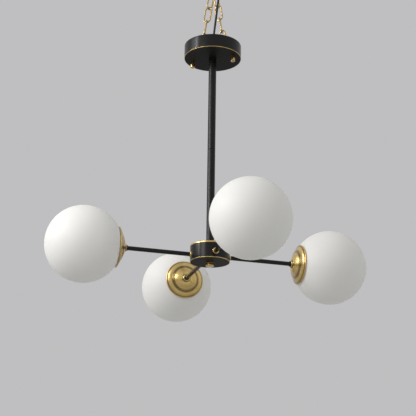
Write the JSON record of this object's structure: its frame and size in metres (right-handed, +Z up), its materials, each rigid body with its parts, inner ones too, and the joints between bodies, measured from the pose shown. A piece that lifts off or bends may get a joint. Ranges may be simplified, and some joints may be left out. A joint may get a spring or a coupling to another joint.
{
  "type": "branch chandelier",
  "caption": "Branch chandelier with opal ball shades in brass cups on level arms round a drum hub, on a rod under a round canopy that hangs by twin chains from a ceiling hook.",
  "frame": {"origin": "centre of the ceiling plate's upper face, which lies against the ceiling; everything hangs below it", "axes": "+Z up; the arms run along +X (right), -X (left), -Y (front, nearest in the picture) and +Y (back)"},
  "size_m": [0.658, 0.658, 0.7308],
  "materials": {
    "black_metal": "satin black-bronze lacquer",
    "brushed_brass": "brushed, spun, lightly aged",
    "chain_brass": "aged satin",
    "steel": "zinc plated",
    "opal_glass": "matt opal white",
    "lamp_glass": "frosted",
    "black_plastic": "moulded",
    "white_plastic": "moulded",
    "black_rubber": "soft",
    "black_cord": "smooth round sheath"
  },
  "bodies": {
    "ceiling_fitting": {"ceiling_plate": "black_metal", "ceiling_hook": "chain_brass", "hook_locknut": "chain_brass", "ceiling_gland": "black_plastic", "supply_cord": "black_cord"},
    "link_pair_1": {"left_chain_link_1": "chain_brass", "right_chain_link_1": "chain_brass"},
    "link_pair_2": {"left_chain_link_2": "chain_brass", "right_chain_link_2": "chain_brass"},
    "link_pair_3": {"left_chain_link_3": "chain_brass", "right_chain_link_3": "chain_brass"},
    "link_pair_4": {"left_chain_link_4": "chain_brass", "right_chain_link_4": "chain_brass"},
    "link_pair_5": {"left_chain_link_5": "chain_brass", "right_chain_link_5": "chain_brass"},
    "fixture": {"crossbar": "steel", "chain_eyes": "chain_brass", "crossbar_studs": "steel", "canopy_shell": "black_metal", "canopy_trim_ring": "brushed_brass", "terminal_block": "white_plastic", "canopy_nipple": "steel", "canopy_locknut": "steel", "upper_rod": "black_metal", "lower_rod": "black_metal", "rod_coupler": "steel", "rod_cable": "black_cord", "hub_lid": "brushed_brass", "hub_body": "black_metal", "hub_trim_ring": "brushed_brass", "hub_base_plate": "black_metal", "hub_nipple": "steel", "hub_locknuts": "steel", "arm_collars": "brushed_brass", "arm_locknuts": "steel", "arm_wires": "black_cord", "globe_gaskets": "black_rubber", "arm_right": "black_metal", "cup_right": "brushed_brass", "lampholder_right": "black_plastic", "arm_back": "black_metal", "cup_back": "brushed_brass", "lampholder_back": "black_plastic", "arm_left": "black_metal", "cup_left": "brushed_brass", "lampholder_left": "black_plastic", "arm_front": "black_metal", "cup_front": "brushed_brass", "lampholder_front": "black_plastic"},
    "canopy_nut_left_body": {"canopy_nut_left": "brushed_brass"},
    "canopy_nut_right_body": {"canopy_nut_right": "brushed_brass"},
    "hub_finial_body": {"hub_finial": "brushed_brass"},
    "globe_right_body": {"globe_right": "opal_glass"},
    "globe_back_body": {"globe_back": "opal_glass"},
    "globe_left_body": {"globe_left": "opal_glass"},
    "globe_front_body": {"globe_front": "opal_glass"},
    "lamp_right_body": {"lamp_right": "lamp_glass"},
    "lamp_back_body": {"lamp_back": "lamp_glass"},
    "lamp_left_body": {"lamp_left": "lamp_glass"},
    "lamp_front_body": {"lamp_front": "lamp_glass"}
  },
  "joints": [
    {"name": "hook_side_swing", "type": "hinge", "parent": "ceiling_fitting", "child": "link_pair_1", "pos_m": [0, 0, -0.045], "axis": [0.6157, 0.788, 0], "range_deg": [-10, 10]},
    {"name": "chain_bend_1", "type": "hinge", "parent": "link_pair_1", "child": "link_pair_2", "pos_m": [0, 0, -0.07488], "axis": [0.788, -0.6157, 0], "range_deg": [-10, 10], "deforming": ["supply_cord"]},
    {"name": "chain_bend_2", "type": "hinge", "parent": "link_pair_2", "child": "link_pair_3", "pos_m": [0, 0, -0.10131], "axis": [0.788, -0.6157, 0], "range_deg": [-10, 10]},
    {"name": "chain_bend_3", "type": "hinge", "parent": "link_pair_3", "child": "link_pair_4", "pos_m": [0, 0, -0.13567], "axis": [0.788, -0.6157, 0], "range_deg": [-10, 10]},
    {"name": "chain_bend_4", "type": "hinge", "parent": "link_pair_4", "child": "link_pair_5", "pos_m": [0, 0, -0.16259], "axis": [0.788, -0.6157, 0], "range_deg": [-10, 10]},
    {"name": "canopy_tilt", "type": "hinge", "parent": "link_pair_5", "child": "fixture", "pos_m": [0, 0, -0.19696], "axis": [0.788, -0.6157, 0], "range_deg": [-10, 10]},
    {"name": "canopy_nut_left_turn", "type": "hinge", "parent": "fixture", "child": "canopy_nut_left_body", "pos_m": [-0.03546, 0.02771, -0.23061], "axis": [0, 0, 1], "continuous": true},
    {"name": "canopy_nut_right_turn", "type": "hinge", "parent": "fixture", "child": "canopy_nut_right_body", "pos_m": [0.03546, -0.02771, -0.23061], "axis": [0, 0, 1], "continuous": true},
    {"name": "hub_finial_turn", "type": "hinge", "parent": "fixture", "child": "hub_finial_body", "pos_m": [0, 0, -0.67361], "axis": [0, 0, 1], "continuous": true},
    {"name": "globe_right_turn", "type": "hinge", "parent": "fixture", "child": "globe_right_body", "pos_m": [0.254, 0, -0.65581], "axis": [1, 0, 0], "continuous": true},
    {"name": "globe_back_turn", "type": "hinge", "parent": "fixture", "child": "globe_back_body", "pos_m": [0, 0.254, -0.65581], "axis": [0, 1, 0], "continuous": true},
    {"name": "globe_left_turn", "type": "hinge", "parent": "fixture", "child": "globe_left_body", "pos_m": [-0.254, 0, -0.65581], "axis": [-1, 0, 0], "continuous": true},
    {"name": "globe_front_turn", "type": "hinge", "parent": "fixture", "child": "globe_front_body", "pos_m": [0, -0.254, -0.65581], "axis": [0, -1, 0], "continuous": true},
    {"name": "lamp_right_pull", "type": "slide", "parent": "fixture", "child": "lamp_right_body", "axis": [1, 0, 0], "range_m": [0, 0.018]},
    {"name": "lamp_back_pull", "type": "slide", "parent": "fixture", "child": "lamp_back_body", "axis": [0, 1, 0], "range_m": [0, 0.018]},
    {"name": "lamp_left_pull", "type": "slide", "parent": "fixture", "child": "lamp_left_body", "axis": [-1, 0, 0], "range_m": [0, 0.018]},
    {"name": "lamp_front_pull", "type": "slide", "parent": "fixture", "child": "lamp_front_body", "axis": [0, -1, 0], "range_m": [0, 0.018]}
  ]
}
